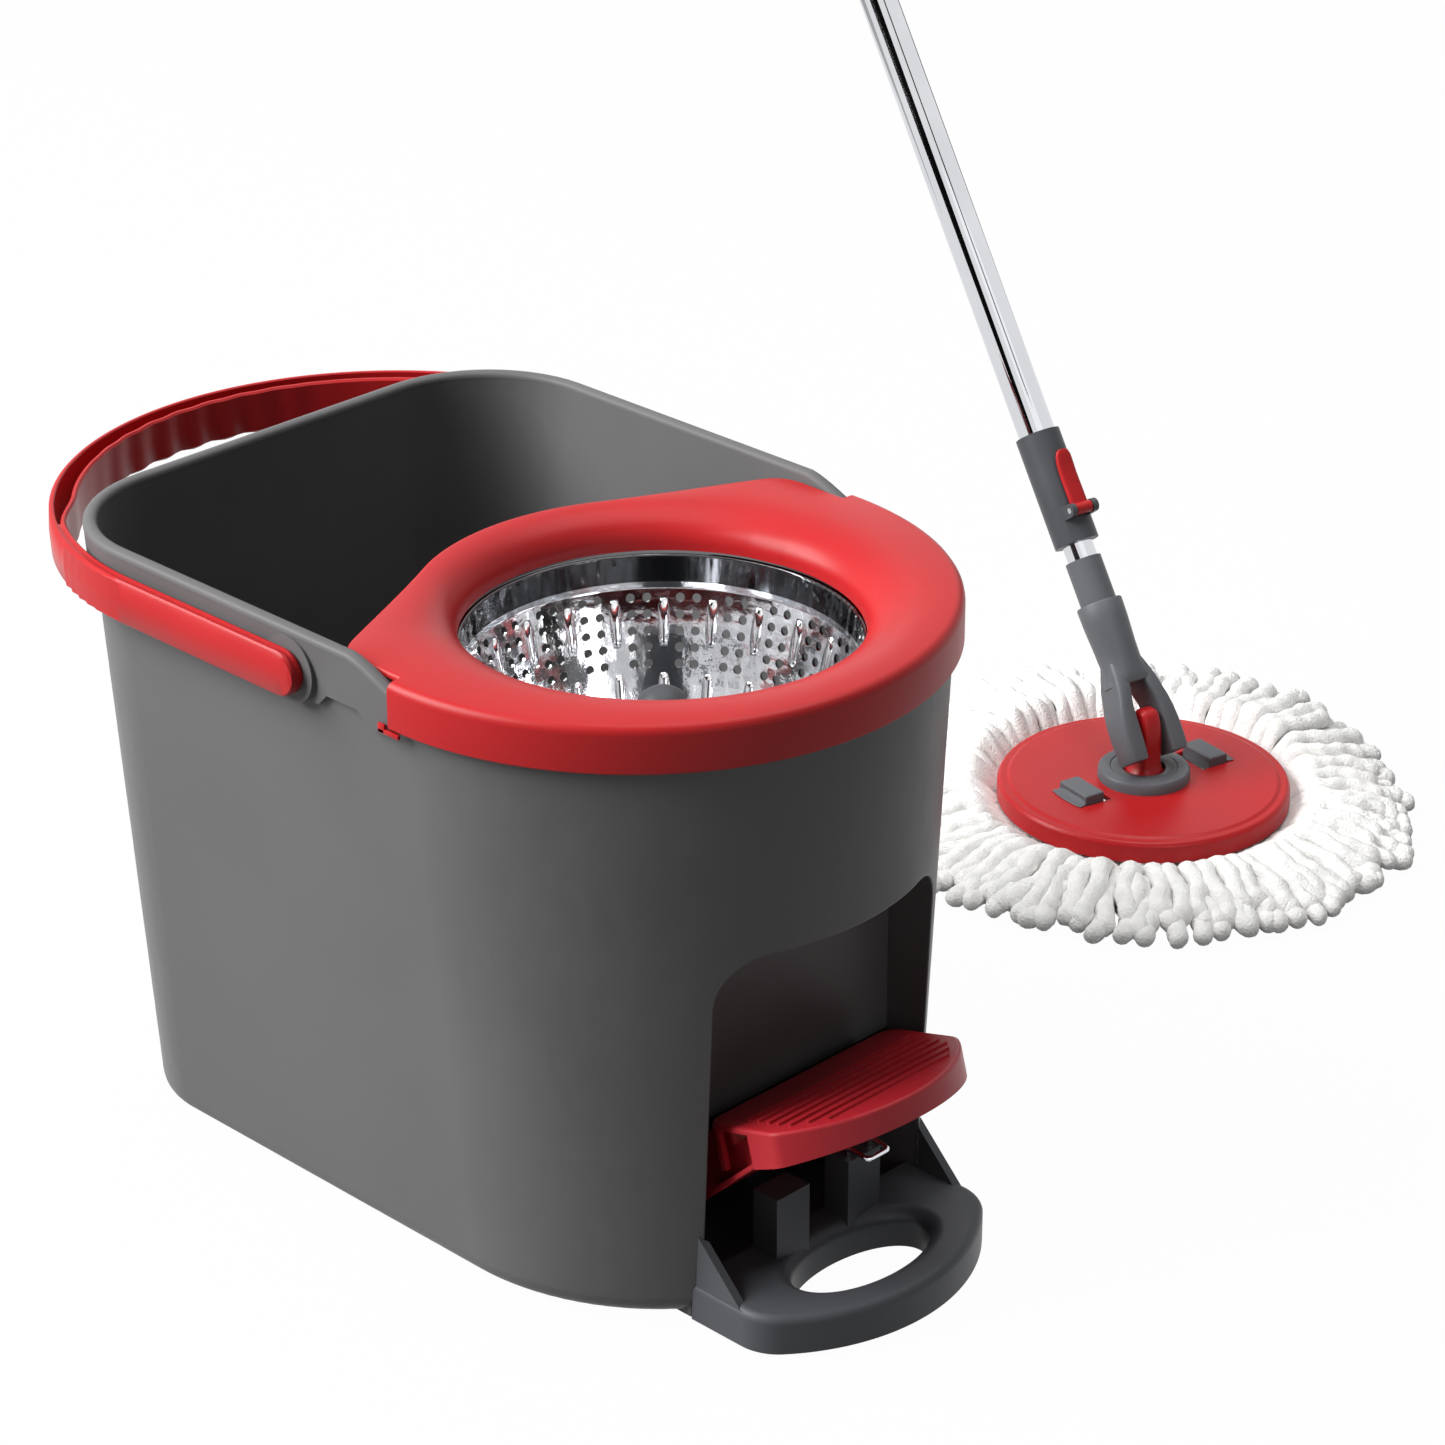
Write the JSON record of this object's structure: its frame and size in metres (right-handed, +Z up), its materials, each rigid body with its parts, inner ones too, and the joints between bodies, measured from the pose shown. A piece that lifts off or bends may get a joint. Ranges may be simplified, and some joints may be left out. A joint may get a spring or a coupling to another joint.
{
  "type": "spin mop",
  "caption": "Spin mop with a pedal-driven wringer bucket and a round microfibre mop on a leaning telescopic pole.",
  "frame": {"origin": "on the floor under the wringer basket's spin axis, at the underside of the centre foot", "axes": "+X towards the pedal, +Z up along the basket's spin axis, the mop stands on the +Y side"},
  "size_m": [0.7473, 0.713, 0.7425],
  "materials": {
    "tub_grey": "satin moulded plastic",
    "lid_red": "smooth glossy red plastic",
    "pedal_red": "satin red plastic with ribs",
    "base_grey": "satin grey plastic",
    "rubber_black": "matt black rubber",
    "steel": "plain steel",
    "chrome": "mirror chrome",
    "polished": "polished stainless sheet",
    "gear_white": "moulded acetal",
    "bush_tan": "moulded bearing plastic",
    "fork_grey": "satin grey plastic",
    "microfibre": "white microfibre strands",
    "refill_white": "white plastic"
  },
  "bodies": {
    "bucket": {"tub": "tub_grey", "lid": "lid_red", "base": "base_grey", "base_screws": "steel", "rubber_feet": "rubber_black", "centre_foot": "rubber_black", "bail_boss_near": "tub_grey", "bail_boss_far": "tub_grey", "pedal_pin": "steel", "pedal_spring": "steel", "spring_staple": "steel", "gear_frame": "base_grey", "drive_cover": "tub_grey", "lower_shaft_bush": "bush_tan", "upper_shaft_bush": "bush_tan", "shaft_seal": "rubber_black", "lower_layshaft_bush": "bush_tan", "upper_layshaft_bush": "bush_tan"},
    "bail": {"bail": "lid_red"},
    "pedal": {"pedal": "pedal_red"},
    "rack": {"rack": "gear_white"},
    "layshaft": {"layshaft": "steel", "layshaft_gear": "gear_white"},
    "drive": {"drive_pinion": "steel", "clutch_race": "steel", "clutch_rollers": "steel"},
    "basket": {"drive_shaft": "steel", "clutch_sleeve": "steel", "drive_hub": "base_grey", "basket_cup": "polished", "basket_ring": "chrome", "centre_post": "base_grey", "hub_nut": "steel"},
    "mop_head": {"mop_disc": "lid_red", "refill_ring": "refill_white", "refill_strands": "microfibre"},
    "latch_near": {"latch_near": "fork_grey"},
    "latch_far": {"latch_far": "fork_grey"},
    "swivel": {"knuckle": "lid_red", "swivel_retainer": "fork_grey"},
    "handle": {"fork": "fork_grey", "pivot_pin": "steel", "pole_sleeve": "fork_grey", "inner_tube": "chrome"},
    "pole": {"outer_tube": "chrome", "clamp_insert": "fork_grey", "clamp_collar": "fork_grey", "lever_pin": "steel", "grip": "fork_grey", "hang_cap": "fork_grey"},
    "lever": {"clamp_lever": "lid_red"}
  },
  "joints": [
    {"name": "bail_swing", "type": "hinge", "parent": "bucket", "child": "bail", "pos_m": [-0.079, 0, 0.274], "axis": [0, 1, 0], "range_deg": [0, 105]},
    {"name": "pedal_press", "type": "hinge", "parent": "bucket", "child": "pedal", "pos_m": [0.048, 0, 0.032], "axis": [0, 1, 0], "range_deg": [0, 16], "deforming": ["pedal_spring"]},
    {"name": "rack_slide", "type": "slide", "parent": "bucket", "child": "rack", "axis": [1, 0, 0], "range_m": [-0.0005, 0.0175]},
    {"name": "layshaft_spin", "type": "hinge", "parent": "bucket", "child": "layshaft", "pos_m": [-0.03, -0.0225, 0.06], "axis": [0, 0, 1], "range_deg": [-3, 112]},
    {"name": "drive_spin", "type": "hinge", "parent": "bucket", "child": "drive", "pos_m": [0, 0, 0.067], "axis": [0, 0, 1], "range_deg": [-440, 10]},
    {"name": "basket_freewheel", "type": "hinge", "parent": "drive", "child": "basket", "pos_m": [0, 0, 0.15], "axis": [0, 0, 1], "continuous": true},
    {"name": "mop_lift", "type": "slide", "parent": "bucket", "child": "mop_head", "axis": [0, 0, 1], "range_m": [0, 0.3]},
    {"name": "latch_near_press", "type": "slide", "parent": "mop_head", "child": "latch_near", "axis": [0.2079, 0.9781, 0], "range_m": [0, 0.004]},
    {"name": "latch_far_press", "type": "slide", "parent": "mop_head", "child": "latch_far", "axis": [-0.2079, -0.9781, 0], "range_m": [0, 0.004]},
    {"name": "head_swivel", "type": "hinge", "parent": "mop_head", "child": "swivel", "pos_m": [-0.079, 0.424, 0.027], "axis": [0, 0, 1], "continuous": true},
    {"name": "handle_tilt", "type": "hinge", "parent": "swivel", "child": "handle", "pos_m": [-0.079, 0.424, 0.052], "axis": [0.2079, 0.9781, 0], "range_deg": [-10, 84]},
    {"name": "pole_extend", "type": "slide", "parent": "handle", "child": "pole", "axis": [-0.5887, 0.1251, 0.7986], "range_m": [0, 0.35]},
    {"name": "lever_open", "type": "hinge", "parent": "pole", "child": "lever", "pos_m": [-0.13655, 0.43623, 0.15542], "axis": [0.2079, 0.9781, 0], "range_deg": [0, 100]}
  ],
  "couplings": [
    {"joint": "rack_slide", "follows": "pedal_press", "m_per_rad": 0.06},
    {"joint": "layshaft_spin", "follows": "pedal_press", "ratio": 6.6667},
    {"joint": "drive_spin", "follows": "pedal_press", "ratio": -26.667}
  ]
}
